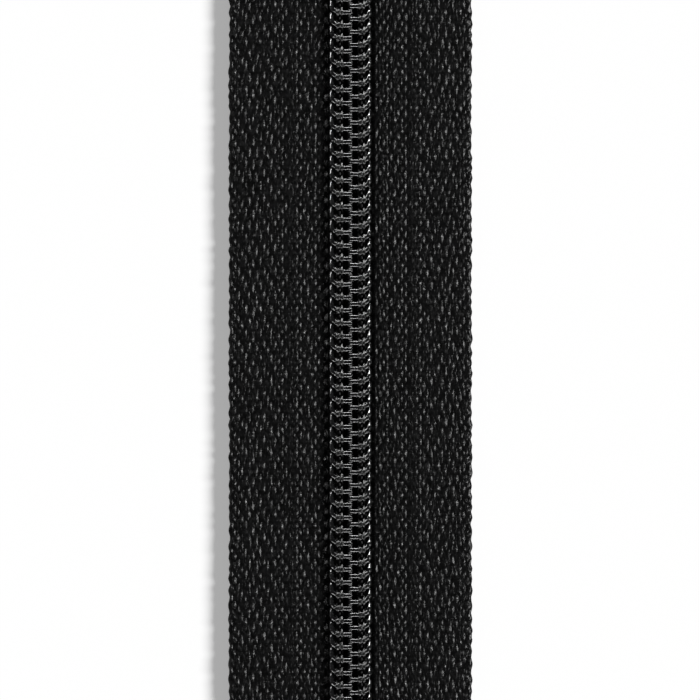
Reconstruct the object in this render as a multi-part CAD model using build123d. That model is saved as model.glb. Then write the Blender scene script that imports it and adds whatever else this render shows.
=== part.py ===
from build123d import *
import math
import os

# A closed-end nylon coil zipper of size 3, lying closed with its coil side up.
# X runs across the tapes, Y along them with the slider at the +Y end, and Z up.
# The origin is under the middle of the zipper, on the surface it lies on. Millimetres.

# The chain: two coils of round monofilament whose heads interlock half a pitch apart.
PITCH = 1.347
TEETH_PER_SIDE = 93
FILAMENT_RADIUS = 0.26
HEAD_REACH = 0.28
CHAIN_HALF_WIDTH = 2.10
HEAD_BEND = 0.28
COIL_RISE = 0.83

# The tapes that the coils are sewn to.
TAPE_HALF_WIDTH = 12.70
TAPE_INNER_EDGE = 0.35
TAPE_LENGTH = 164.0
TAPE_THICKNESS = 0.50
TAPE_UNDERSIDE = 0.90

# The core cord inside each coil and the two rows of chain stitch that hold the coil down.
INNER_STITCH_ROW = 0.86
OUTER_STITCH_ROW = 1.42
NEEDLE_THREAD_RADIUS = 0.07
LOOPER_THREAD_RADIUS = 0.05
THREAD_GAP = 0.03

# The stops.
TAIL_LENGTH = 18.0
BOTTOM_STOP_LENGTH = 3.10
BOTTOM_STOP_HALF_WIDTH = 2.75
BOTTOM_STOP_WALL = 0.55
BOTTOM_STOP_HEIGHT = 3.75
TOP_STOP_LENGTH = 2.00
TOP_STOP_WALL = 0.25
TOP_STOP_TOP = 3.30
TOP_STOP_UNDERSIDE = 0.50

# The slider. Its lengths along the chain are counted from its narrow lower end.
SLIDER_LENGTH = 9.40
SLIDER_TRAVEL = 114.0
WING_THICKNESS = 0.70
CHANNEL_TOP = 3.05
CHANNEL_CLEARANCE = 0.15
FLANGE_THICKNESS = 0.60
FLANGE_UNDERSIDE = 1.60
SPREAD_START = 2.60
SPREAD_END = 7.20
CHAIN_SPREAD = 1.22
WEDGE_TIP = 4.20
WEDGE_SHOULDER = 7.60
WEDGE_HALF_WIDTH = 0.80

# The cap on the slider, the lock spring under it and the pull tab.
CAP_HALF_WIDTH = 1.20
CAP_START = 1.00
CAP_END = 9.00
CAP_FOOT_LENGTH = 0.90
CAP_SIDE_SLOPE = 0.60
CAP_UNDERSIDE_RISE = 1.65
CAP_THICKNESS = 0.60
HINGE_PLACE = 6.60
HINGE_RISE = 0.50
HINGE_BAR_RADIUS = 0.40
SPRING_RISE = 1.00
SPRING_THICKNESS = 0.20
PAWL_PLACE = 4.60
PAWL_LENGTH = 0.40
PAWL_INNER_SIDE = 0.70
PAWL_OUTER_SIDE = 1.15
PAWL_TIP_HEIGHT = 2.50
PAWL_SLOT_CLEARANCE = 0.10
TAB_LENGTH = 24.0
TAB_THICKNESS = 0.90
TAB_ARM_INNER = 1.40
TAB_ARM_OUTER = 2.35
TAB_WINDOW_LENGTH = 6.10
TAB_HOLE_RADIUS = 1.25
TAB_HOLE_FROM_TIP = 2.40
TAB_CORNER_RADIUS = 0.80

# Heights and places that follow from those sizes.
TAPE_TOP = TAPE_UNDERSIDE + TAPE_THICKNESS
LOWER_LEG_HEIGHT = TAPE_TOP + THREAD_GAP + FILAMENT_RADIUS
UPPER_LEG_HEIGHT = LOWER_LEG_HEIGHT + COIL_RISE
COIL_TOP = UPPER_LEG_HEIGHT + FILAMENT_RADIUS
SLIDER_TOP = CHANNEL_TOP + WING_THICKNESS
TAPE_END = TAPE_LENGTH / 2
BOTTOM_STOP_START = -TAPE_END + TAIL_LENGTH
BOTTOM_STOP_END = BOTTOM_STOP_START + BOTTOM_STOP_LENGTH
FIRST_TOOTH = BOTTOM_STOP_START + 0.90
PAWL_TOOTH = 90
SLIDER_START = FIRST_TOOTH + PAWL_TOOTH * PITCH - PAWL_PLACE
SLIDER_END = SLIDER_START + SLIDER_LENGTH
TOP_STOP_START = SLIDER_END + 0.17
HINGE_Y = SLIDER_START + HINGE_PLACE
HINGE_Z = SLIDER_TOP + HINGE_RISE


def spread(y):
    """How far each half of the zipper stands out from its closed place, as the slider parts it."""
    share = (y - SLIDER_START - SPREAD_START) / (SPREAD_END - SPREAD_START)
    return CHAIN_SPREAD * min(1.0, max(0.0, share))


def save(shape, node):
    """Writes one piece of the zipper as a STEP file."""
    shape.label = node
    export_step(shape, f"parts/{node}.step")


def flat_face(points):
    """A flat face with straight edges through the points."""
    return Face(Wire.make_polygon(points))


def plate(outline, low, high):
    """A flat plate with an outline of (x, y) points, between two heights."""
    base = flat_face([(x, y, low) for x, y in outline])
    return extrude(base, amount=high - low, dir=(0, 0, 1))


def block(x_range, y_range, z_range):
    """A rectangular block between two places along each axis."""
    (x_low, x_high), (y_low, y_high) = x_range, y_range
    corners = [(x_low, y_low), (x_high, y_low), (x_high, y_high), (x_low, y_high)]
    return plate(corners, *z_range)


def round_section(radius, sides):
    """The corners of a regular polygon that stands for a round section."""
    turns = [2 * math.pi * (corner + 0.5) / sides for corner in range(sides)]
    return [(radius * math.cos(turn), radius * math.sin(turn)) for turn in turns]


def flat_section(half_width, half_height):
    """The corners of a flat rectangular section."""
    return [
        (half_width, half_height),
        (-half_width, half_height),
        (-half_width, -half_height),
        (half_width, -half_height),
    ]


def tube(path, section):
    """A closed solid of flat faces: the section along straight runs, mitred at each point."""
    path = [Vector(*point) for point in path]
    runs = [(end - start).normalized() for start, end in zip(path, path[1:])]
    side = runs[0].cross(Vector(0, 0, 1)).normalized()
    up = side.cross(runs[0])
    ring = [path[0] + side * across + up * rise for across, rise in section]
    rings = [ring]
    for corner, run, after in zip(path[1:], runs, runs[1:] + runs[-1:]):
        mitre = run + after
        ring = [point + run * ((corner - point).dot(mitre) / run.dot(mitre)) for point in ring]
        rings.append(ring)
    faces = [flat_face(rings[0]), flat_face(rings[-1])]
    for near, far in zip(rings, rings[1:]):
        for index in range(len(section)):
            before = index - 1
            faces.append(flat_face([near[before], near[index], far[index], far[before]]))
    return Solid(Shell(faces))


def tooth_places(side):
    """The places along the chain of one coil's teeth. The right coil is half a pitch further up."""
    first = FIRST_TOOTH + (PITCH / 2 if side > 0 else 0.0)
    return [first + tooth * PITCH for tooth in range(TEETH_PER_SIDE)]


def chain_point(side, out, y, z):
    """A point at a distance out from the chain's middle, carried outwards where the slider parts it."""
    return (side * (out + spread(y)), y, z)


def coil(side):
    """One coil, from its last tooth to its first. An outer bend climbs to the upper leg of each next tooth."""
    head = -HEAD_REACH + FILAMENT_RADIUS
    shoulder = head + HEAD_BEND
    outer = CHAIN_HALF_WIDTH - FILAMENT_RADIUS
    leg_end = outer - HEAD_BEND
    path = []
    for y in reversed(tooth_places(side)):
        path.append(chain_point(side, leg_end, y, UPPER_LEG_HEIGHT))
        path.append(chain_point(side, shoulder, y, UPPER_LEG_HEIGHT))
        path.append(chain_point(side, head, y, UPPER_LEG_HEIGHT - HEAD_BEND))
        path.append(chain_point(side, head, y, LOWER_LEG_HEIGHT + HEAD_BEND))
        path.append(chain_point(side, shoulder, y, LOWER_LEG_HEIGHT))
        path.append(chain_point(side, leg_end, y, LOWER_LEG_HEIGHT))
        path.append(chain_point(side, outer, y - 0.35 * PITCH, LOWER_LEG_HEIGHT + 0.2 * COIL_RISE))
        path.append(chain_point(side, outer, y - 0.65 * PITCH, UPPER_LEG_HEIGHT - 0.2 * COIL_RISE))
    last_outer_bend = 2
    return tube(path[:-last_outer_bend], round_section(FILAMENT_RADIUS, 6))


def along_the_chain(side, out, height):
    """A path beside the chain's middle, from the first tooth to the last, bent as the slider bends it."""
    places = tooth_places(side)
    bends = [SLIDER_START + SPREAD_START, SLIDER_START + SPREAD_END]
    ys = [places[0] - PITCH / 4, *bends, places[-1] + PITCH / 4]
    return [chain_point(side, out, y, height) for y in ys]


def core_cord(side):
    """The flat cord that fills the coil between the two rows of stitches."""
    middle = (INNER_STITCH_ROW + OUTER_STITCH_ROW) / 2
    half_width = (OUTER_STITCH_ROW - INNER_STITCH_ROW) / 2 - NEEDLE_THREAD_RADIUS - THREAD_GAP
    half_height = COIL_RISE / 2 - FILAMENT_RADIUS - THREAD_GAP
    height = (UPPER_LEG_HEIGHT + LOWER_LEG_HEIGHT) / 2
    return tube(along_the_chain(side, middle, height), flat_section(half_width, half_height))


def needle_thread(side, row):
    """One row of upper thread, which passes over each leg and dips to the tape between the legs."""
    over = COIL_TOP + THREAD_GAP + NEEDLE_THREAD_RADIUS
    dip = TAPE_TOP + THREAD_GAP + NEEDLE_THREAD_RADIUS
    path = []
    for y in tooth_places(side):
        path.append(chain_point(side, row, y - 0.42 * PITCH, dip))
        path.append(chain_point(side, row, y - 0.29 * PITCH, over))
        path.append(chain_point(side, row, y + 0.29 * PITCH, over))
        path.append(chain_point(side, row, y + 0.42 * PITCH, dip))
    return tube(path, round_section(NEEDLE_THREAD_RADIUS, 4))


def looper_thread(side, row):
    """One row of lower thread, which runs along under the tape."""
    height = TAPE_UNDERSIDE - THREAD_GAP - LOOPER_THREAD_RADIUS
    return tube(along_the_chain(side, row, height), round_section(LOOPER_THREAD_RADIUS, 4))


def tape(side):
    """One woven tape, with a slot where the bottom stop passes through it."""
    parting_start = SLIDER_START + SPREAD_START
    parting_end = SLIDER_START + SPREAD_END
    outline = [
        (side * TAPE_INNER_EDGE, -TAPE_END),
        (side * TAPE_INNER_EDGE, parting_start),
        (side * (TAPE_INNER_EDGE + CHAIN_SPREAD), parting_end),
        (side * (TAPE_INNER_EDGE + CHAIN_SPREAD), TAPE_END),
        (side * (TAPE_HALF_WIDTH + CHAIN_SPREAD), TAPE_END),
        (side * (TAPE_HALF_WIDTH + CHAIN_SPREAD), parting_end),
        (side * TAPE_HALF_WIDTH, parting_start - SLIDER_LENGTH),
        (side * TAPE_HALF_WIDTH, -TAPE_END),
    ]
    slot_gap = 0.05
    slot_sides = sorted(
        (
            side * (BOTTOM_STOP_HALF_WIDTH + slot_gap),
            side * (BOTTOM_STOP_HALF_WIDTH - BOTTOM_STOP_WALL - slot_gap),
        )
    )
    slot_ends = (BOTTOM_STOP_START - slot_gap, BOTTOM_STOP_END + slot_gap)
    slot = block(slot_sides, slot_ends, (0, TAPE_TOP + TAPE_THICKNESS))
    return plate(outline, TAPE_UNDERSIDE, TAPE_TOP) - slot


def top_stop(side):
    """A clip over the inner edge of one tape, just past the last tooth."""
    inner = TAPE_INNER_EDGE - TOP_STOP_WALL - 0.05
    ends = (TOP_STOP_START, TOP_STOP_START + TOP_STOP_LENGTH)

    def across(low, high):
        return sorted((side * (low + CHAIN_SPREAD), side * (high + CHAIN_SPREAD)))

    clip = block(across(inner, CHAIN_HALF_WIDTH), ends, (TOP_STOP_UNDERSIDE, TOP_STOP_TOP))
    mouth = (TAPE_UNDERSIDE - 0.02, TAPE_TOP + 0.02)
    return clip - block(across(inner + TOP_STOP_WALL, TAPE_HALF_WIDTH), ends, mouth)


def bottom_stop():
    """The block round both halves of the chain, with a passage for them along its length."""
    half_width = BOTTOM_STOP_HALF_WIDTH
    ends = (BOTTOM_STOP_START, BOTTOM_STOP_END)
    corner = 0.5
    outline = [
        (-half_width, BOTTOM_STOP_START + corner),
        (-half_width + corner, BOTTOM_STOP_START),
        (half_width - corner, BOTTOM_STOP_START),
        (half_width, BOTTOM_STOP_START + corner),
        (half_width, BOTTOM_STOP_END - corner),
        (half_width - corner, BOTTOM_STOP_END),
        (-half_width + corner, BOTTOM_STOP_END),
        (-half_width, BOTTOM_STOP_END - corner),
    ]
    shell = chamfer_top(plate(outline, 0, BOTTOM_STOP_HEIGHT), 0.3)
    inside = half_width - BOTTOM_STOP_WALL
    passage_floor = TAPE_UNDERSIDE - 2 * (THREAD_GAP + LOOPER_THREAD_RADIUS)
    passage = block((-inside, inside), ends, (passage_floor, CHANNEL_TOP))
    return shell - passage


def chamfer_top(shape, size):
    """The same solid with its highest outline cut back at 45 degrees."""
    top = shape.faces().sort_by(Axis.Z)[-1]
    return chamfer(top.edges(), length=size)


def slider_outline(inset):
    """The slider's outline in plan, narrow at its lower end, set in by a distance at its sides."""
    narrow = CHAIN_HALF_WIDTH + CHANNEL_CLEARANCE + FLANGE_THICKNESS - inset
    wide = narrow + CHAIN_SPREAD
    half = [
        (narrow, SLIDER_START),
        (narrow, SLIDER_START + SPREAD_START),
        (wide, SLIDER_START + SPREAD_END),
        (wide, SLIDER_END),
    ]
    return half + [(-x, y) for x, y in reversed(half)]


def slider_body():
    """The slider: an upper and a lower wing, joined by the wedge that parts the two coils."""
    lower_wing = plate(slider_outline(0), 0, WING_THICKNESS)
    lower_wing = chamfer(lower_wing.faces().sort_by(Axis.Z)[0].edges(), length=0.25)
    upper_wing = chamfer_top(plate(slider_outline(0), CHANNEL_TOP, SLIDER_TOP), 0.3)
    rim = plate(slider_outline(0), FLANGE_UNDERSIDE, CHANNEL_TOP)
    flanges = rim - plate(slider_outline(FLANGE_THICKNESS), FLANGE_UNDERSIDE, CHANNEL_TOP)
    wedge_outline = [
        (0, SLIDER_START + WEDGE_TIP),
        (WEDGE_HALF_WIDTH, SLIDER_START + WEDGE_SHOULDER),
        (WEDGE_HALF_WIDTH, SLIDER_END),
        (-WEDGE_HALF_WIDTH, SLIDER_END),
        (-WEDGE_HALF_WIDTH, SLIDER_START + WEDGE_SHOULDER),
    ]
    wedge = plate(wedge_outline, WING_THICKNESS, CHANNEL_TOP)
    pawl_middle = SLIDER_START + PAWL_PLACE
    slot_half_length = PAWL_LENGTH / 2 + PAWL_SLOT_CLEARANCE
    slot = block(
        (PAWL_INNER_SIDE - PAWL_SLOT_CLEARANCE, PAWL_OUTER_SIDE + PAWL_SLOT_CLEARANCE),
        (pawl_middle - slot_half_length, pawl_middle + slot_half_length),
        (CHANNEL_TOP, SLIDER_TOP),
    )
    return lower_wing + upper_wing + flanges + wedge - slot


def side_profile(points, half_width):
    """A solid with an outline of (y, z) points, of equal thickness to both sides of the middle."""
    face = flat_face([(-half_width, y, z) for y, z in points])
    return extrude(face, amount=2 * half_width, dir=(1, 0, 0))


def slider_cap():
    """The bridge over the slider that holds the pull tab's bar and covers the lock spring."""
    start = SLIDER_START + CAP_START
    end = SLIDER_START + CAP_END
    inside_start = start + CAP_FOOT_LENGTH
    inside_end = end - CAP_FOOT_LENGTH
    underside = SLIDER_TOP + CAP_UNDERSIDE_RISE
    top = underside + CAP_THICKNESS
    outline = [
        (start, SLIDER_TOP),
        (inside_start, SLIDER_TOP),
        (inside_start, underside - CAP_SIDE_SLOPE),
        (inside_start + CAP_SIDE_SLOPE, underside),
        (inside_end - CAP_SIDE_SLOPE, underside),
        (inside_end, underside - CAP_SIDE_SLOPE),
        (inside_end, SLIDER_TOP),
        (end, SLIDER_TOP),
        (end, top - 2 * CAP_SIDE_SLOPE),
        (end - 2 * CAP_SIDE_SLOPE, top),
        (start + 2 * CAP_SIDE_SLOPE, top),
        (start, top - 2 * CAP_SIDE_SLOPE),
    ]
    return chamfer_top(side_profile(outline, CAP_HALF_WIDTH), 0.25)


def lock_spring():
    """The flat spring under the cap, whose pawl reaches down between two legs of the right coil."""
    leaf_bottom = SLIDER_TOP + SPRING_RISE
    leaf_top = leaf_bottom + SPRING_THICKNESS
    leaf_ends = (SLIDER_START + CAP_START + 1.6, SLIDER_START + CAP_END - 1.6)
    leaf = block((-0.75, PAWL_OUTER_SIDE), leaf_ends, (leaf_bottom, leaf_top))
    pawl_middle = SLIDER_START + PAWL_PLACE
    pawl_ends = (pawl_middle - PAWL_LENGTH / 2, pawl_middle + PAWL_LENGTH / 2)
    pawl = block((PAWL_INNER_SIDE, PAWL_OUTER_SIDE), pawl_ends, (PAWL_TIP_HEIGHT, leaf_bottom))
    return leaf + pawl


def pull_tab():
    """The pull tab: a flat tab with a window for the cap, hung on the bar across the window's end."""
    tip = HINGE_Y - TAB_LENGTH
    low = HINGE_Z - TAB_THICKNESS / 2
    high = HINGE_Z + TAB_THICKNESS / 2
    sheet = block((-TAB_ARM_OUTER, TAB_ARM_OUTER), (tip, HINGE_Y), (low, high))
    corners = sheet.edges().filter_by(Axis.Z).group_by(Axis.Y)[0]
    sheet = fillet(corners, radius=TAB_CORNER_RADIUS)
    knuckle = Cylinder(radius=TAB_THICKNESS / 2, height=2 * TAB_ARM_OUTER, rotation=(0, 90, 0))
    knuckle = Pos(0, HINGE_Y, HINGE_Z) * knuckle
    window_end = HINGE_Y - TAB_WINDOW_LENGTH
    window_sides = (-TAB_ARM_INNER, TAB_ARM_INNER)
    window = block(window_sides, (window_end, HINGE_Y + TAB_THICKNESS), (low, high))
    bar = Cylinder(radius=HINGE_BAR_RADIUS, height=2 * TAB_ARM_INNER, rotation=(0, 90, 0))
    hole = Cylinder(radius=TAB_HOLE_RADIUS, height=2 * TAB_THICKNESS)
    hole = Pos(0, tip + TAB_HOLE_FROM_TIP, HINGE_Z) * hole
    return sheet + knuckle - window + Pos(0, HINGE_Y, HINGE_Z) * bar - hole


os.makedirs("parts", exist_ok=True)
for name, side in (("left", -1), ("right", 1)):
    save(tape(side), f"{name}_tape")
    save(coil(side), f"{name}_coil")
    save(core_cord(side), f"{name}_core_cord")
    for row_name, row in (("inner", INNER_STITCH_ROW), ("outer", OUTER_STITCH_ROW)):
        save(needle_thread(side, row), f"{name}_{row_name}_needle_thread")
        save(looper_thread(side, row), f"{name}_{row_name}_looper_thread")
    save(top_stop(side), f"{name}_top_stop")
save(bottom_stop(), "bottom_stop")
save(slider_body(), "slider_body")
save(slider_cap(), "slider_cap")
save(lock_spring(), "lock_spring")
save(pull_tab(), "pull_tab")
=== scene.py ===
import math

import bpy
import numpy as np
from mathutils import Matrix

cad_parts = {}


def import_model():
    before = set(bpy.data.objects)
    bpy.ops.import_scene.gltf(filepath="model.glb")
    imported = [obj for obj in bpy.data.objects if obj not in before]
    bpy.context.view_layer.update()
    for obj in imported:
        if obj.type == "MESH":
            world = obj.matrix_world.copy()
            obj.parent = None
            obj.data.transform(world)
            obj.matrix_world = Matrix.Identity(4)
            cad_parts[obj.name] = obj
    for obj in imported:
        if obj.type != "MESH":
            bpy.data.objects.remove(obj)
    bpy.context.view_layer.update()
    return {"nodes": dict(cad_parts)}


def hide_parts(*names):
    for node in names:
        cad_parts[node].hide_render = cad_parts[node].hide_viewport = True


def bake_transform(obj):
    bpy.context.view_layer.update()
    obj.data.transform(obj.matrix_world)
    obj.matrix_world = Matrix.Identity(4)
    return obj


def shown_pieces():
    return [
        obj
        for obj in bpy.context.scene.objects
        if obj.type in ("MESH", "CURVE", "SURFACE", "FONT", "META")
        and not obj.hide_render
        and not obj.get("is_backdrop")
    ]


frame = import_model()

# The pieces are worked out in millimetres, with out counted from the zipper's middle line.
METRES = 0.001
SIDES = {"left": -1.0, "right": 1.0}

# The chain: the teeth of one side, the filament's radius, and the heights of its two legs.
PITCH = 1.347
TEETH = 93
FIRST_TOOTH = -63.1
WIRE = 0.26
UPPER_LEG = 2.52
LOWER_LEG = 1.69

# The tapes, and how far out their rows of stitches lie.
TAPE_TOP = 1.40
TAPE_UNDERSIDE = 0.90
TAPE_END = 82.0
TAPE_EDGE = 12.70
INNER_EDGE = 0.14
STITCH_ROWS = {"inner": 0.86, "outer": 1.42}

# The slider at rest, and the stretch of it that parts the two halves.
SLIDER_START = 53.53
SLIDER_LENGTH = 9.4
SPREAD_START = SLIDER_START + 2.6
SPREAD_END = SLIDER_START + 7.2
SPREAD = 1.22

# The bottom stop's side walls go through the tapes here: out, then along.
STOP_WALL_OUT = (2.15, 2.80)
STOP_WALL_ALONG = (-64.05, -60.85)


# ---------------------------------------------------------------- materials

class Look:
    """A node material on one Principled shader, with helpers for its textures."""

    def __init__(self, name, color, roughness, **sockets):
        self.material = bpy.data.materials.new(name)
        self.material.use_nodes = True
        self.nodes = self.material.node_tree.nodes
        self.links = self.material.node_tree.links
        self.shader = self.nodes["Principled BSDF"]
        self.shader.inputs["Base Color"].default_value = (*color, 1.0)
        self.shader.inputs["Roughness"].default_value = roughness
        for socket, value in sockets.items():
            self.shader.inputs[socket.replace("_", " ")].default_value = value
        self.place = self.nodes.new("ShaderNodeTexCoord").outputs["Object"]

    def scaled(self, scale):
        mapping = self.nodes.new("ShaderNodeMapping")
        mapping.inputs["Scale"].default_value = scale
        self.links.new(self.place, mapping.inputs["Vector"])
        return mapping.outputs["Vector"]

    def noise(self, scale, detail=3.0, stretch=(1.0, 1.0, 1.0)):
        node = self.nodes.new("ShaderNodeTexNoise")
        node.inputs["Scale"].default_value = scale
        node.inputs["Detail"].default_value = detail
        self.links.new(self.scaled(stretch), node.inputs["Vector"])
        return node.outputs["Fac"]

    def wave(self, scale, direction, distortion):
        node = self.nodes.new("ShaderNodeTexWave")
        node.wave_type = "BANDS"
        node.bands_direction = direction
        node.inputs["Scale"].default_value = scale
        node.inputs["Distortion"].default_value = distortion
        node.inputs["Detail"].default_value = 2.0
        self.links.new(self.scaled((1.0, 1.0, 1.0)), node.inputs["Vector"])
        return node.outputs["Fac"]

    def attribute(self, name):
        node = self.nodes.new("ShaderNodeAttribute")
        node.attribute_name = name
        return node.outputs["Fac"]

    def math(self, operation, *values):
        node = self.nodes.new("ShaderNodeMath")
        node.operation = operation
        for socket, value in zip(node.inputs, values):
            if isinstance(value, float):
                socket.default_value = value
            else:
                self.links.new(value, socket)
        return node.outputs["Value"]

    def ramp(self, source, stops):
        node = self.nodes.new("ShaderNodeValToRGB")
        first, last = node.color_ramp.elements
        for element, (position, color) in zip((first, last), (stops[0], stops[-1])):
            element.position = position
            element.color = (*color, 1.0)
        for position, color in stops[1:-1]:
            element = node.color_ramp.elements.new(position)
            element.color = (*color, 1.0)
        self.links.new(source, node.inputs["Fac"])
        return node.outputs["Color"]

    def grey(self, source, low, high, start=0.3, end=0.7):
        return self.ramp(source, [(start, (low,) * 3), (end, (high,) * 3)])

    def set(self, socket, source):
        self.links.new(source, self.shader.inputs[socket])

    def bump(self, source, depth, strength):
        node = self.nodes.new("ShaderNodeBump")
        node.inputs["Strength"].default_value = strength
        node.inputs["Distance"].default_value = depth
        self.links.new(source, node.inputs["Height"])
        self.set("Normal", node.outputs["Normal"])


def tape_look():
    """Polyester yarn with painted shade: its tone mask paints the hollows between the crowns dead black and
    takes most of their shine away.
    """
    look = Look("tape_weave", (0.001, 0.001, 0.001), 0.3, Specular_IOR_Level=0.3)
    # Painted shade: the tone attribute darkens the colour in the hollows, beside the coil and under it.
    tone = look.math("MULTIPLY", look.attribute("tone"), look.noise(900.0, 2.0))
    stops = [(0.2, (0.0004, 0.0004, 0.0004)), (0.55, (0.0015, 0.0015, 0.0016))]
    look.set("Base Color", look.ramp(tone, stops))
    # The same painted shade dims the shine, so the hollows keep almost no reflection.
    shine = look.grey(look.attribute("tone"), 0.03, 0.29, start=0.28, end=0.90)
    look.set("Specular IOR Level", shine)
    look.set("Roughness", look.grey(look.noise(2500.0, 2.0), 0.22, 0.33))
    fibres = look.noise(5200.0, 2.0, stretch=(1.0, 0.36, 1.0))
    look.bump(fibres, depth=0.00006, strength=1.0)
    return look.material


def coil_look():
    """Drawn nylon, glossy but for the pressed ends of its heads."""
    look = Look("nylon_filament", (0.002, 0.002, 0.002), 0.15, Specular_IOR_Level=0.55)
    stops = [(0.3, (0.0012, 0.0012, 0.0014)), (0.7, (0.003, 0.003, 0.0032))]
    look.set("Base Color", look.ramp(look.noise(700.0), stops))
    rough = look.math("MULTIPLY_ADD", look.noise(3000.0, 3.0), 0.12, 0.08)
    pressed = look.attribute("pressed")
    look.set("Roughness", look.math("MULTIPLY_ADD", pressed, 0.3, rough))
    look.set("Specular IOR Level", look.math("MULTIPLY_ADD", pressed, -0.6, 0.6))
    look.bump(look.noise(5000.0, 2.0), depth=0.000008, strength=0.5)
    return look.material


def thread_look(name, tone, shine):
    """Spun polyester, with its fibres lying askew."""
    look = Look(name, (tone,) * 3, 0.3, Specular_IOR_Level=shine)
    look.set("Base Color", look.grey(look.noise(2500.0), tone * 0.5, tone * 1.3))
    look.set("Roughness", look.grey(look.noise(4000.0), 0.27, 0.40))
    look.bump(look.wave(2600.0, "DIAGONAL", distortion=2.0), depth=0.00002, strength=0.35)
    return look.material


def enamel_look():
    """Baked enamel over die-cast zinc, a little uneven in tone and gloss."""
    sheen = {"Specular_IOR_Level": 0.5, "Coat_Weight": 0.4, "Coat_Roughness": 0.12}
    look = Look("black_enamel", (0.010, 0.010, 0.011), 0.3, **sheen)
    stops = [(0.3, (0.008, 0.008, 0.009)), (0.62, (0.011, 0.011, 0.012)), (0.85, (0.015, 0.015, 0.016))]
    look.set("Base Color", look.ramp(look.noise(350.0, 5.0), stops))
    look.set("Roughness", look.grey(look.noise(600.0, 5.0), 0.28, 0.36))
    look.bump(look.noise(1500.0, 3.0), depth=0.00002, strength=0.35)
    return look.material


def steel_look():
    """Bare spring steel, rolled along the leaf."""
    look = Look("spring_steel", (0.42, 0.42, 0.43), 0.3, Metallic=1.0)
    streaks = look.noise(500.0, 4.0, stretch=(8.0, 0.5, 1.0))
    look.set("Base Color", look.ramp(streaks, [(0.3, (0.30, 0.30, 0.31)), (0.7, (0.47, 0.47, 0.48))]))
    look.set("Roughness", look.grey(look.noise(900.0, 4.0, stretch=(8.0, 0.4, 1.0)), 0.22, 0.42))
    scratches = look.noise(3000.0, 3.0, stretch=(6.0, 0.3, 1.0))
    look.bump(scratches, depth=0.00001, strength=0.4)
    return look.material


def plastic_look():
    """Moulded plastic with a satin surface."""
    look = Look("moulded_plastic", (0.010, 0.010, 0.011), 0.4, Specular_IOR_Level=0.45)
    stops = [(0.3, (0.007, 0.007, 0.008)), (0.7, (0.014, 0.014, 0.015))]
    look.set("Base Color", look.ramp(look.noise(400.0, 5.0), stops))
    look.set("Roughness", look.grey(look.noise(900.0, 4.0), 0.32, 0.52))
    look.bump(look.noise(2600.0, 4.0), depth=0.00002, strength=0.5)
    return look.material


LOOKS = {
    "tape_weave": tape_look(),
    "nylon_filament": coil_look(),
    "core_cord": thread_look("core_cord", 0.0008, 0.15),
    "sewing_thread": thread_look("sewing_thread", 0.0016, 0.36),
    "black_enamel": enamel_look(),
    "spring_steel": steel_look(),
    "moulded_plastic": plastic_look(),
}


# ---------------------------------------------------------------- mesh helpers

def spread(y):
    """How far each half stands out where the slider parts the chain."""
    return SPREAD * np.clip((y - SPREAD_START) / (SPREAD_END - SPREAD_START), 0.0, 1.0)


def piece(name, points, faces, slot, node):
    """A mesh piece from points in millimetres, with its material and its place in the frame."""
    mesh = bpy.data.meshes.new(name)
    mesh.from_pydata((points * METRES).tolist(), [], faces)
    mesh.update()
    mesh.polygons.foreach_set("use_smooth", [True] * len(mesh.polygons))
    obj = bpy.data.objects.new(name, mesh)
    bpy.context.scene.collection.objects.link(obj)
    mesh.materials.append(LOOKS[slot])
    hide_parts(node)
    return obj


def add_attribute(obj, name, values):
    """A number for every point of a piece, which its material reads."""
    attribute = obj.data.attributes.new(name, "FLOAT", "POINT")
    attribute.data.foreach_set("value", values.astype(np.float32))


def grid_faces(rows, columns, closed=False, offset=0):
    """The quads of a grid of points, whose last column may join its first."""
    index = np.arange(rows * columns).reshape(rows, columns) + offset
    if closed:
        index = np.hstack([index, index[:, :1]])
    corners = (index[:-1, :-1], index[:-1, 1:], index[1:, 1:], index[1:, :-1])
    return np.stack(corners, axis=-1).reshape(-1, 4)


def round_off(rows, times):
    """Cuts every corner of a path, and of all that is stated along it, so that it runs smoothly."""
    for _ in range(times):
        near = 0.75 * rows[:-1] + 0.25 * rows[1:]
        far = 0.25 * rows[:-1] + 0.75 * rows[1:]
        middle = np.stack([near, far], axis=1).reshape(-1, rows.shape[1])
        rows = np.vstack([rows[:1], middle, rows[-1:]])
    return rows


def turns(count):
    """That many angles round a full turn."""
    return np.arange(count) * 2 * math.pi / count


def sweep(path, inward, thick, wide, power, sides, relief=1.0, loop=False):
    """Rings of a section along a path.

    thick is half the section along inward and wide is half of it across. The section is an ellipse
    at power 2, and squarer above it. relief lifts or sinks single points of the rings. All of these
    may be stated once or for every point of the path.
    """
    inward = np.broadcast_to(inward, path.shape)
    if loop:
        run = np.roll(path, -1, axis=0) - np.roll(path, 1, axis=0)
    else:
        run = np.gradient(path, axis=0)
    run = run / np.linalg.norm(run, axis=1, keepdims=True)
    normal = inward - run * np.sum(inward * run, axis=1, keepdims=True)
    normal = normal / np.linalg.norm(normal, axis=1, keepdims=True)
    across = np.cross(run, normal)
    thick, wide, power = (np.broadcast_to(value, len(path))[:, None] for value in (thick, wide, power))
    turn = turns(sides)
    shape = 2.0 / power
    along_normal = np.sign(np.cos(turn)) * np.abs(np.cos(turn)) ** shape * relief
    along_across = np.sign(np.sin(turn)) * np.abs(np.sin(turn)) ** shape * relief
    return (
        path[:, None]
        + normal[:, None] * (thick * along_normal)[..., None]
        + across[:, None] * (wide * along_across)[..., None]
    )


def closed_tube(rings):
    """The points and faces of a tube with its two ends capped."""
    count, sides = rings.shape[:2]
    faces = grid_faces(count, sides, closed=True).tolist()
    faces.append(list(reversed(range(sides))))
    faces.append([(count - 1) * sides + index for index in range(sides)])
    return rings.reshape(-1, 3), faces


def beside_chain(points, side):
    """Points given as (out, along, up) put on one side of the chain, and parted by the slider."""
    x = side * (points[:, 0] + spread(points[:, 1]))
    return np.stack([x, points[:, 1], points[:, 2]], axis=1)


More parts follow.
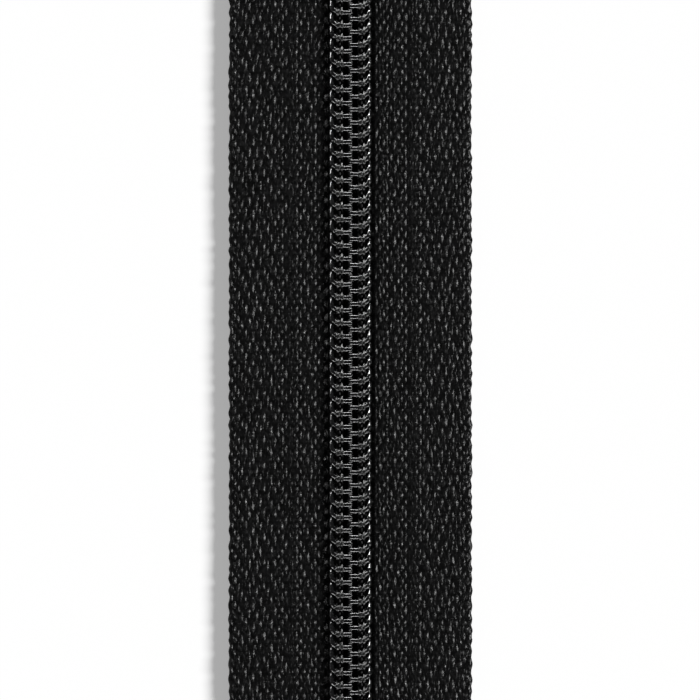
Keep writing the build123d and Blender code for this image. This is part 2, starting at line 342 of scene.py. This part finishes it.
def tooth_places(side):
    """How far along the teeth of one side lie. The right ones are half a pitch further up."""
    return FIRST_TOOTH + (PITCH / 2 if side > 0 else 0.0) + PITCH * np.arange(TEETH)


def stringer_piece(name, side_name, points, faces, slot):
    """A soft piece of one half of the zipper, made in place of the frame's node of that name."""
    obj = piece(name + "_visual", points, faces, slot, name)
    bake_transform(obj)
    return obj


# ---------------------------------------------------------------- the coils

def coil(side_name):
    """Each tooth: an upper leg, a squared head, a lower leg, and the outer bend up to the next tooth."""
    side = SIDES[side_name]
    rng = np.random.RandomState(11 if side < 0 else 12)
    # How far out the outer bend stands, and how far it has sunk half way to the next tooth.
    bend = 1.94
    fall = 0.29 if side < 0 else 0.43
    rows = []
    for y in tooth_places(side)[::-1]:
        shift, lean = rng.uniform(-0.012, 0.012), rng.uniform(-0.015, 0.015)
        y = y + shift
        # out, along, up, thick, wide, power, then the direction to the coil's middle (out, up)
        rows += [
            (bend, y + 0.90, UPPER_LEG - 0.03 - fall / 2, WIRE, WIRE, 2.0, -1.0, -0.5),
            (bend, y + 0.66, UPPER_LEG - 0.06, WIRE, WIRE, 2.0, -1.0, -0.5),
            (1.93, y + 0.52 + lean, UPPER_LEG, WIRE, WIRE, 2.0, -0.8, -0.8),
            (1.86, y + 0.36 + lean, UPPER_LEG, WIRE, WIRE, 2.0, -0.5, -1.0),
            (1.54, y + 0.15 + lean, UPPER_LEG, WIRE, WIRE, 2.0, -0.2, -1.0),
            (1.30, y + 0.01, UPPER_LEG, WIRE, WIRE, 2.0, 0.0, -1.0),
            (0.70, y - 0.01, UPPER_LEG, WIRE, WIRE, 2.0, 0.0, -1.0),
            (0.16, y, UPPER_LEG, WIRE, 0.265, 2.0, 0.0, -1.0),
            (0.03, y, UPPER_LEG, WIRE, 0.27, 2.0, 0.2, -1.0),
            (0.00, y, UPPER_LEG - 0.01, 0.35, 0.27, 2.1, 1.0, -1.0),
            (-0.01, y, UPPER_LEG - 0.04, 0.25, 0.28, 2.1, 1.0, -0.2),
            (-0.01, y, UPPER_LEG - 0.20, 0.25, 0.33, 2.6, 1.0, 0.0),
            (-0.01, y, LOWER_LEG + 0.01, 0.25, 0.33, 2.6, 0.7, 0.7),
            (0.20, y, LOWER_LEG, WIRE, 0.29, 2.0, 0.0, 1.0),
            (1.55, y, LOWER_LEG, WIRE, WIRE, 2.0, 0.0, 1.0),
            (1.88, y - 0.02, LOWER_LEG + 0.10, WIRE, WIRE, 2.0, -0.8, 0.6),
            (bend, y - 0.10, LOWER_LEG + 0.26, WIRE, WIRE, 2.0, -1.0, 0.0),
            (bend, y - 0.21, UPPER_LEG - fall, WIRE, WIRE, 2.0, -1.0, -0.4),
        ]
    # The filament starts at the top tooth's upper leg and ends at the bottom tooth's lower leg.
    rows = round_off(np.array(rows[5:-3]), times=2)
    path = beside_chain(rows[:, :3], side)
    inward = np.stack([side * rows[:, 6], np.zeros(len(rows)), rows[:, 7]], axis=1)
    rings = sweep(path, inward, thick=rows[:, 3], wide=rows[:, 4], power=rows[:, 5], sides=14)
    points, faces = closed_tube(rings)
    obj = stringer_piece(f"{side_name}_coil", side_name, points, faces, "nylon_filament")
    # The pressed ends of the heads are dull, from this far out, with a soft edge.
    dull_from = -0.12 if side < 0 else 0.02
    soft_edge = 0.06
    out = side * points[:, 0] - spread(points[:, 1])
    add_attribute(obj, "pressed", np.clip((dull_from - out) / soft_edge, 0.0, 1.0))


# ---------------------------------------------------------------- threads and cord

def ply(sides, twist, depth, plies):
    """The lobes of a thread twisted from a few plies, for each ring and each side of it."""
    return 1.0 + depth * np.cos(plies * (turns(sides)[None, :] - twist[:, None]))


# Half the width each needle thread has on the legs, how far out from its stitch holes it lies
# there, and how much deeper than the flattest ones it goes down into the gap.
THREAD_LAY = {
    ("left", "inner"): (0.18, 0.02, 0.0),
    ("left", "outer"): (0.27, -0.12, 0.24),
    ("right", "inner"): (0.27, 0.14, 0.24),
    ("right", "outer"): (0.17, 0.0, 0.0),
}


def needle_thread(side_name, row_name):
    """The upper thread: flat over each leg, then a strand that slopes into the gap and dips to its hole."""
    side = SIDES[side_name]
    out = STITCH_ROWS[row_name]
    flat, slant, slope = THREAD_LAY[side_name, row_name]
    rng = np.random.RandomState(int(out * 100) + (1 if side > 0 else 0))
    # The heights of the thread's middle on the legs and in the gaps, and one turn of its plies.
    over = UPPER_LEG + WIRE + 0.055
    dip = TAPE_TOP + 0.09
    lay = 1.1
    sides = 12
    rows = []
    for y in tooth_places(side):
        wide = flat + rng.uniform(-0.02, 0.03)
        shift = slant + rng.uniform(-0.02, 0.02)
        # out, along, up, thick, wide
        rows += [
            (out, y - 0.50 * PITCH, dip, 0.09, 0.10),
            (out, y - 0.56, UPPER_LEG - 0.60, 0.09, 0.11),
            (out, y - 0.44, UPPER_LEG - 0.28, 0.08, 0.11),
            (out + 0.3 * shift, y - 0.35, UPPER_LEG - 0.03, 0.07, 0.11),
            (out + 0.7 * shift, y - 0.25, UPPER_LEG + 0.19, 0.05, 0.4 * wide),
            (out + shift, y - 0.13, over - 0.01, 0.04, wide),
            (out + shift, y + 0.10, over, 0.04, wide),
            (out + 0.8 * shift, y + 0.22, UPPER_LEG + 0.24, 0.045, 0.8 * wide),
            (out + 0.3 * shift, y + 0.33, UPPER_LEG + 0.15 - slope / 2, 0.07, 0.09),
            (out, y + 0.58, UPPER_LEG - 0.04 - slope, 0.08, 0.085),
            (out, y + 0.65, UPPER_LEG - 0.42 - slope / 2, 0.09, 0.09),
        ]
    rows = round_off(np.array(rows), times=2)
    path = beside_chain(rows[:, :3], side)
    # Leant a little, so that it never points along the path.
    up = (0.0, 0.01, 1.0)
    length = np.cumsum(np.linalg.norm(np.diff(path, axis=0, prepend=path[:1]), axis=1))
    relief = ply(sides, twist=length * 2 * math.pi / lay, depth=0.07, plies=3)
    rings = sweep(path, up, rows[:, 3], rows[:, 4], power=2.8, sides=sides, relief=relief)
    name = f"{side_name}_{row_name}_needle_thread"
    stringer_piece(name, side_name, *closed_tube(rings), "sewing_thread")


def looper_thread(side_name, row_name):
    """The lower thread: a chain of slim loops on the tape's underside, each lying over the next."""
    side = SIDES[side_name]
    out = STITCH_ROWS[row_name]
    rng = np.random.RandomState(int(out * 100) + (5 if side > 0 else 3))
    half_length = 0.80
    middle = TAPE_UNDERSIDE - 0.085
    steps, sides = 20, 8
    turn = turns(steps)
    relief = ply(sides, twist=turn * 3.0, depth=0.12, plies=2)
    all_points, all_faces = [], []
    for y in tooth_places(side):
        half_width = 0.13 + rng.uniform(-0.015, 0.015)
        loop = np.stack(
            [
                out + half_width * np.sin(turn) * (1.0 + 0.25 * np.cos(turn)),
                y + half_length * np.cos(turn),
                middle + 0.035 * np.cos(turn),
            ],
            axis=1,
        )
        path = beside_chain(loop, side)
        rings = sweep(path, (0.0, 0.0, -1.0), 0.045, 0.052, 2.0, sides, relief, loop=True)
        # One row of faces more than there are rings, so that the last row joins the first ring.
        faces = grid_faces(steps + 1, sides, closed=True) % (steps * sides)
        all_faces += (faces + steps * sides * len(all_points)).tolist()
        all_points.append(rings.reshape(-1, 3))
    name = f"{side_name}_{row_name}_looper_thread"
    stringer_piece(name, side_name, np.concatenate(all_points), all_faces, "sewing_thread")


def core_cord(side_name):
    """The flat spun cord inside a coil, between the two rows of stitches."""
    side = SIDES[side_name]
    places = tooth_places(side)
    # How far it reaches past the last teeth, how far apart its rings are, and one turn of its plies.
    beyond, step, lay = 0.3, 0.16, 2.2
    sides = 16
    along = np.arange(places[0] - beyond, places[-1] + beyond, step)
    out = np.full(len(along), sum(STITCH_ROWS.values()) / 2)
    up = np.full(len(along), (UPPER_LEG + LOWER_LEG) / 2)
    path = beside_chain(np.stack([out, along, up], axis=1), side)
    relief = ply(sides, twist=along * 2 * math.pi / lay, depth=0.10, plies=4)
    rings = sweep(path, (0.0, 0.0, 1.0), thick=0.125, wide=0.17, power=2.2, sides=sides, relief=relief)
    stringer_piece(f"{side_name}_core_cord", side_name, *closed_tube(rings), "core_cord")


# ---------------------------------------------------------------- the tapes

# The draft of the weave: which quarter of the repeat each warp end crowns in, from the outer edge
# inwards. The double ends crown twice in a repeat. The guide ends are the flat line along which a
# tape is sewn. Places across a tape are counted in ends.
PICK = 0.632
REPEAT = 4 * PICK
DRAFT = (
    0, 1, 2, 3, 0, 2, 1, 3, 0, 2, 3, 0, 2, 1, 2, 3, 0, 0, 2, 1, 0, 1, 3, 0, 1, 2, 3, 0, 1, 2, 3, 0, 1
)
ENDS = len(DRAFT)
END_WIDTH = (TAPE_EDGE - INNER_EDGE) / ENDS
DOUBLE_ENDS = (14, 18, 19, 23)
GUIDE_ENDS = (16, 17)
COLUMNS_PER_END = 4
ROWS_PER_PICK = 3


def tape_shift(out, y):
    """How far the tape is pushed out at a place: sharply at its inner edge, gently at its outer edge."""
    inner = spread(y)
    start = SPREAD_START - SLIDER_LENGTH
    outer = SPREAD * np.clip((y - start) / (SPREAD_END - start), 0.0, 1.0)
    share = (out - INNER_EDGE) / (TAPE_EDGE - INNER_EDGE)
    return inner + (outer - inner) * share


def weave(side, face):
    """One face of a tape over (rows along, columns inwards).

    Gives the rows' places along, the columns' places in ends, the heights, the painted shade for the
    material, and how far each point leans sideways. face is 0 on top and 1 below.
    """
    rng = np.random.RandomState(31 if side < 0 else 32)
    crown_height, hollow, pick_height = 0.19, 0.12, 0.11
    seam_start, seam_width, seam_depth = (26.1 if side < 0 else 26.7), 1.1, 0.22
    cover_start, cover_width = 28.5, 1.5
    columns = ENDS * COLUMNS_PER_END + 1
    rows = 2 * int(round(TAPE_END / PICK * ROWS_PER_PICK)) + 1
    y = np.linspace(-TAPE_END, TAPE_END, rows)
    place = np.arange(columns) / COLUMNS_PER_END
    end_of = np.minimum(place.astype(int), ENDS - 1)
    offset = place - end_of - 0.5
    across = np.sqrt(np.clip(1.0 - (2 * offset) ** 2, 0.0, 1.0))

    # How far each warp end is up, along the tape: 1 on a crown and 0 where the weft lies over it.
    repeats = int(2 * TAPE_END / REPEAT) + 4
    up = np.zeros((rows, ENDS))
    for end in range(ENDS):
        length = REPEAT / 2 if end in DOUBLE_ENDS else REPEAT
        jitter = rng.uniform(-0.05, 0.05, repeats * 2)
        strength = rng.uniform(0.62, 1.1, repeats * 2)
        phase = y / length + DRAFT[end] * 0.25 * REPEAT / length
        phase = phase + rng.uniform(-0.03, 0.03) + face * 0.5
        cell = np.floor(phase + 0.5).astype(int)
        cell = (cell - cell.min()) % (repeats * 2)
        local = phase + jitter[cell]
        reach = 0.23 if end in DOUBLE_ENDS else 0.13
        up[:, end] = np.exp(-(np.abs((local + 0.5) % 1.0 - 0.5) / reach) ** 3) * strength[cell]
        # The guide line is flat but for a low crown at every second pick.
        if end in GUIDE_ENDS:
            up[:, end] = 0.04 + 0.35 * (np.cos(2 * math.pi * (y + 0.3 * end) / (2 * PICK)) > 0.8)

    # The warp's heights, rounded across each end, and the two guide ends rounded as one.
    guide_across = np.sqrt(np.clip(1.0 - (place - max(GUIDE_ENDS)) ** 2, 0.0, 1.0))
    across = np.where(np.isin(end_of, GUIDE_ENDS), guide_across, across)
    warp = crown_height * up[:, end_of] - hollow * (1.0 - across)

    # The weft's heights: a ridge for every pick, highest where the ends beside it are down.
    pick_phase = y / PICK + 0.5
    ridge = np.sqrt(np.clip(1.0 - (2 * (pick_phase - np.floor(pick_phase)) - 1.0) ** 2, 0.0, 1.0))
    down = 1.0 - up
    weft_up = 0.25 * np.roll(down, 1, axis=1) + 0.5 * down + 0.25 * np.roll(down, -1, axis=1)
    weft_up = np.stack([np.interp(place, np.arange(ENDS) + 0.5, line) for line in weft_up])
    weft = pick_height * weft_up**2 - pick_height * (1.0 - ridge[:, None])
    height = np.maximum(warp, weft)

    # The seam pulls the tape down beside the coil, and the coil covers it from there inwards.
    beside_coil = np.clip((place - seam_start) / seam_width, 0.0, 1.0)[None, :]
    under_coil = np.clip((place - cover_start) / cover_width, 0.0, 1.0)[None, :]
    relief = height + rng.normal(0.0, 0.008, warp.shape) - seam_depth * beside_coil
    # Painted shade for the material: low in the hollows between the yarns, halved beside the coil, where
    # its shadow falls, and nothing under the coil, which lies in its shade.
    painted_shade = np.clip((height + 0.13) / 0.28, 0.0, 1.1)
    painted_shade = painted_shade * (1.0 - 0.5 * beside_coil) * (1.0 - under_coil)

    # The warp ends wander a little to either side.
    lean = np.zeros((rows, ENDS))
    knots = np.linspace(-TAPE_END, TAPE_END, 260)
    for end in range(ENDS):
        line = np.interp(y, knots, rng.uniform(-0.055, 0.055, len(knots)))
        lean[:, end] = 0.0 if end in GUIDE_ENDS else line
    lean = np.stack([np.interp(place, np.arange(ENDS) + 0.5, line) for line in lean])
    return y, place, relief, painted_shade, lean


def tape(side_name):
    """One woven tape, with its two faces, its scalloped outer edge and its guide line."""
    side = SIDES[side_name]
    y, place, relief, painted_shade, lean = weave(side, 0)
    rows, columns = relief.shape
    out = TAPE_EDGE - END_WIDTH * place
    rng = np.random.RandomState(41 if side < 0 else 42)
    scallop_depth, loop_height, rounding = 0.13, 0.05, 0.14
    level = TAPE_TOP - 0.17
    border_foot = TAPE_UNDERSIDE + 0.12

    # The outer edge wanders, and the turns of the weft scallop it and lie along it as low loops.
    knots = np.linspace(-TAPE_END, TAPE_END, 60)
    wander = np.interp(y, knots, rng.uniform(-0.03, 0.03, len(knots)))
    edge = np.clip(1.0 - place / 2.5, 0.0, 1.0)
    scallop = 0.5 + 0.5 * np.cos(2 * math.pi * y / (2 * PICK) + 1.2 * np.sin(y * 0.9))
    width_shift = -(scallop_depth * scallop[:, None] + wander[:, None]) * edge[None, :] ** 0.7
    loop_phase = y[:, None] / (2 * PICK) + place[None, :] * 0.35
    loops = loop_height * np.cos(2 * math.pi * loop_phase) * edge[None, :]

    # The upper face, rounded over at both edges.
    x = out[None, :] + width_shift + lean * np.clip(ENDS - place, 0.0, 1.0)[None, :]
    round_over = np.clip(1.0 - place / 0.9, 0.0, 1.0)[None, :] ** 2
    inner_over = np.clip(1.0 - (ENDS - place) / 0.7, 0.0, 1.0)[None, :] ** 2
    top = level + relief + loops - rounding * round_over - rounding * inner_over
    y_grid = np.repeat(y[:, None], columns, axis=1)
    x_top = side * (x + tape_shift(x, y_grid))
    points = np.stack([x_top, y_grid, top], axis=-1)

    # The lower face has half as many rows and columns.
    coarse = (slice(0, rows, 2), slice(0, columns, 2))
    bottom_relief = weave(side, 1)[2][coarse]
    edge_rise = 0.1 * (round_over + inner_over)[:, ::2]
    bottom = TAPE_UNDERSIDE + 0.10 - np.maximum(bottom_relief, 0.0) * 0.7 + edge_rise
    below = np.stack([x_top[coarse], y_grid[coarse], bottom], axis=-1)

    count = rows * columns
    under = grid_faces(*below.shape[:2], offset=count)[:, ::-1]
    all_points = [points.reshape(-1, 3), below.reshape(-1, 3)]
    all_faces = [grid_faces(rows, columns), under]
    # The painted shade of the upper face, and an even value for the lower face.
    painted_shade_values = [painted_shade.ravel(), np.full(bottom.size, 0.8)]
    count += bottom.size
    # The four borders between the faces, each with its value of the painted shade: outer, inner,
    # lower and upper end. The inner border lies under the coil and is painted black, as shade.
    borders = (
        (points[:, 0], 0.7),
        (points[::-1, -1], 0.0),
        (points[0, ::-1], 0.5),
        (points[-1], 0.5),
    )
    for line, tone in borders:
        low = line.copy()
        low[:, 2] = border_foot
        strip = np.stack([line, (line + low) / 2, low], axis=1)
        all_points.append(strip.reshape(-1, 3))
        all_faces.append(grid_faces(len(line), 3, offset=count)[:, ::-1])
        painted_shade_values.append(np.full(len(line) * 3, tone))
        count += len(line) * 3
    vertices = np.concatenate(all_points)
    quads = np.concatenate(all_faces)
    if side > 0:
        quads = quads[:, ::-1]

    # The bottom stop's walls pierce it.
    centre = vertices[quads].mean(axis=1)
    centre_out = np.abs(centre[:, 0])
    pierced = (centre_out > STOP_WALL_OUT[0]) & (centre_out < STOP_WALL_OUT[1])
    pierced &= (centre[:, 1] > STOP_WALL_ALONG[0]) & (centre[:, 1] < STOP_WALL_ALONG[1])
    quads = quads[~pierced]
    obj = stringer_piece(f"{side_name}_tape", side_name, vertices, quads.tolist(), "tape_weave")
    # The material reads the painted shade as the attribute tone.
    add_attribute(obj, "tone", np.concatenate(painted_shade_values))


# ---------------------------------------------------------------- the pieces

for side_name in SIDES:
    tape(side_name)
    coil(side_name)
    core_cord(side_name)
    for row_name in STITCH_ROWS:
        needle_thread(side_name, row_name)
        looper_thread(side_name, row_name)

# The pieces that keep the frame's own shape: what each is made of and how wide its edges are rounded.
EDGES = {
    "slider_body": ("black_enamel", 0.00016),
    "slider_cap": ("black_enamel", 0.00014),
    "pull_tab": ("black_enamel", 0.00018),
    "lock_spring": ("spring_steel", 0.00004),
    "left_top_stop": ("black_enamel", 0.00009),
    "right_top_stop": ("black_enamel", 0.00009),
    "bottom_stop": ("moulded_plastic", 0.00014),
}
for node, (slot_name, width) in EDGES.items():
    obj = frame["nodes"][node]
    for slot in obj.material_slots:
        slot.material = LOOKS[slot_name]
    if not obj.material_slots:
        obj.data.materials.append(LOOKS[slot_name])
    # The dissolve joins the frame's triangles first, so that only true edges are rounded.
    flat = obj.modifiers.new("flat", "DECIMATE")
    flat.decimate_type = "DISSOLVE"
    flat.angle_limit = math.radians(1.0)
    bevel = obj.modifiers.new("edges", "BEVEL")
    bevel.width = width
    bevel.segments = 3
    bevel.limit_method = "ANGLE"
    bevel.angle_limit = math.radians(25)
    bevel.harden_normals = True


# ---------------------------------------------------------------- floor, light and camera

def floor():
    """The white ground."""
    mesh = bpy.data.meshes.new("floor")
    half = 3.0
    corners = [(-half, -half, 0), (half, -half, 0), (half, half, 0), (-half, half, 0)]
    mesh.from_pydata(corners, [], [(0, 1, 2, 3)])
    obj = bpy.data.objects.new("floor", mesh)
    bpy.context.scene.collection.objects.link(obj)
    look = Look("floor", (0.85, 0.85, 0.85), 0.8, Specular_IOR_Level=0.0)
    look.shader.inputs["Emission Color"].default_value = (1.0, 1.0, 1.0, 1.0)
    look.shader.inputs["Emission Strength"].default_value = 0.36
    mesh.materials.append(look.material)
    obj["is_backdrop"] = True
    return obj


def aim(obj, target):
    """Turns a light so that it shines from its place to the target."""
    way = [target[axis] - obj.location[axis] for axis in range(3)]
    flat = math.hypot(way[0], way[1])
    obj.rotation_euler = (math.atan2(flat, -way[2]), 0.0, math.atan2(-way[0], way[1]))


LAMP_TARGET = (0.0, -0.012, 0.001)


def area_light(name, azimuth, elevation, distance, size, power):
    """A soft box, seen from the zipper at that azimuth (0 is +Y, 90 is +X) and height above the floor."""
    data = bpy.data.lights.new(name, "AREA")
    data.shape = "RECTANGLE"
    data.size, data.size_y = size
    data.energy = power
    obj = bpy.data.objects.new(name, data)
    bpy.context.scene.collection.objects.link(obj)
    turn, rise = math.radians(azimuth), math.radians(elevation)
    obj.location = (
        LAMP_TARGET[0] + distance * math.cos(rise) * math.sin(turn),
        LAMP_TARGET[1] + distance * math.cos(rise) * math.cos(turn),
        LAMP_TARGET[2] + distance * math.sin(rise),
    )
    aim(obj, LAMP_TARGET)
    obj.visible_camera = False
    return obj


def sun(name, azimuth, elevation, strength, angle):
    """A far light, placed like area_light, whose shadows are as soft as its angle is wide."""
    data = bpy.data.lights.new(name, "SUN")
    data.energy = strength
    data.angle = math.radians(angle)
    obj = bpy.data.objects.new(name, data)
    bpy.context.scene.collection.objects.link(obj)
    turn, rise = math.radians(azimuth), math.radians(elevation)
    obj.location = (math.cos(rise) * math.sin(turn), math.cos(rise) * math.cos(turn), math.sin(rise))
    aim(obj, (0.0, 0.0, 0.0))
    return obj


def world():
    """A weak even light from everywhere, behind a light grey that only the camera sees."""
    scene = bpy.context.scene
    scene.world = bpy.data.worlds.new("studio")
    scene.world.use_nodes = True
    tree = scene.world.node_tree
    light = tree.nodes["Background"]
    light.inputs["Color"].default_value = (1.0, 1.0, 1.0, 1.0)
    light.inputs["Strength"].default_value = 0.05
    seen = tree.nodes.new("ShaderNodeBackground")
    seen.inputs["Color"].default_value = (0.93, 0.93, 0.93, 1.0)
    path = tree.nodes.new("ShaderNodeLightPath")
    mix = tree.nodes.new("ShaderNodeMixShader")
    tree.links.new(path.outputs["Is Camera Ray"], mix.inputs["Fac"])
    tree.links.new(light.outputs["Background"], mix.inputs[1])
    tree.links.new(seen.outputs["Background"], mix.inputs[2])
    tree.links.new(mix.outputs["Shader"], tree.nodes["World Output"].inputs["Surface"])


def shines_on(light, objects):
    """Keeps a light to these objects, as a flag in front of a studio lamp does."""
    group = bpy.data.collections.new(light.name + "_receivers")
    for obj in objects:
        group.objects.link(obj)
    light.light_linking.receiver_collection = group


table = floor()
world()
shines_on(sun("table_key", azimuth=90, elevation=30, strength=4.4, angle=17), [table])
lamps = [
    sun("key_right", azimuth=90, elevation=50, strength=2.6, angle=16),
    area_light("strip_top", -10, 17, distance=0.5, size=(0.9, 0.05), power=9.0),
    area_light("strip_bottom", 180, 17, distance=0.5, size=(0.8, 0.05), power=5.0),
    area_light("fill_left", -90, 35, distance=0.6, size=(0.12, 0.5), power=0.25),
]
for lamp in lamps:
    shines_on(lamp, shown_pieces())

# The camera looks straight down. The picture is VIEW_WIDTH metres wide at the height of VIEW_PLANE.
SENSOR = 36.0
VIEW_WIDTH = 0.07287
VIEW_PLANE = 0.0018
VIEW_CENTRE = (-0.000036, -0.011995)
CAMERA_HEIGHT = 0.6
camera_data = bpy.data.cameras.new("camera")
camera_data.sensor_width = SENSOR
camera_data.clip_start = 0.01
camera_data.lens = SENSOR * CAMERA_HEIGHT / VIEW_WIDTH
camera = bpy.data.objects.new("camera", camera_data)
bpy.context.scene.collection.objects.link(camera)
camera.location = (*VIEW_CENTRE, CAMERA_HEIGHT + VIEW_PLANE)
bpy.context.scene.camera = camera
bpy.context.scene.view_settings.view_transform = "Standard"
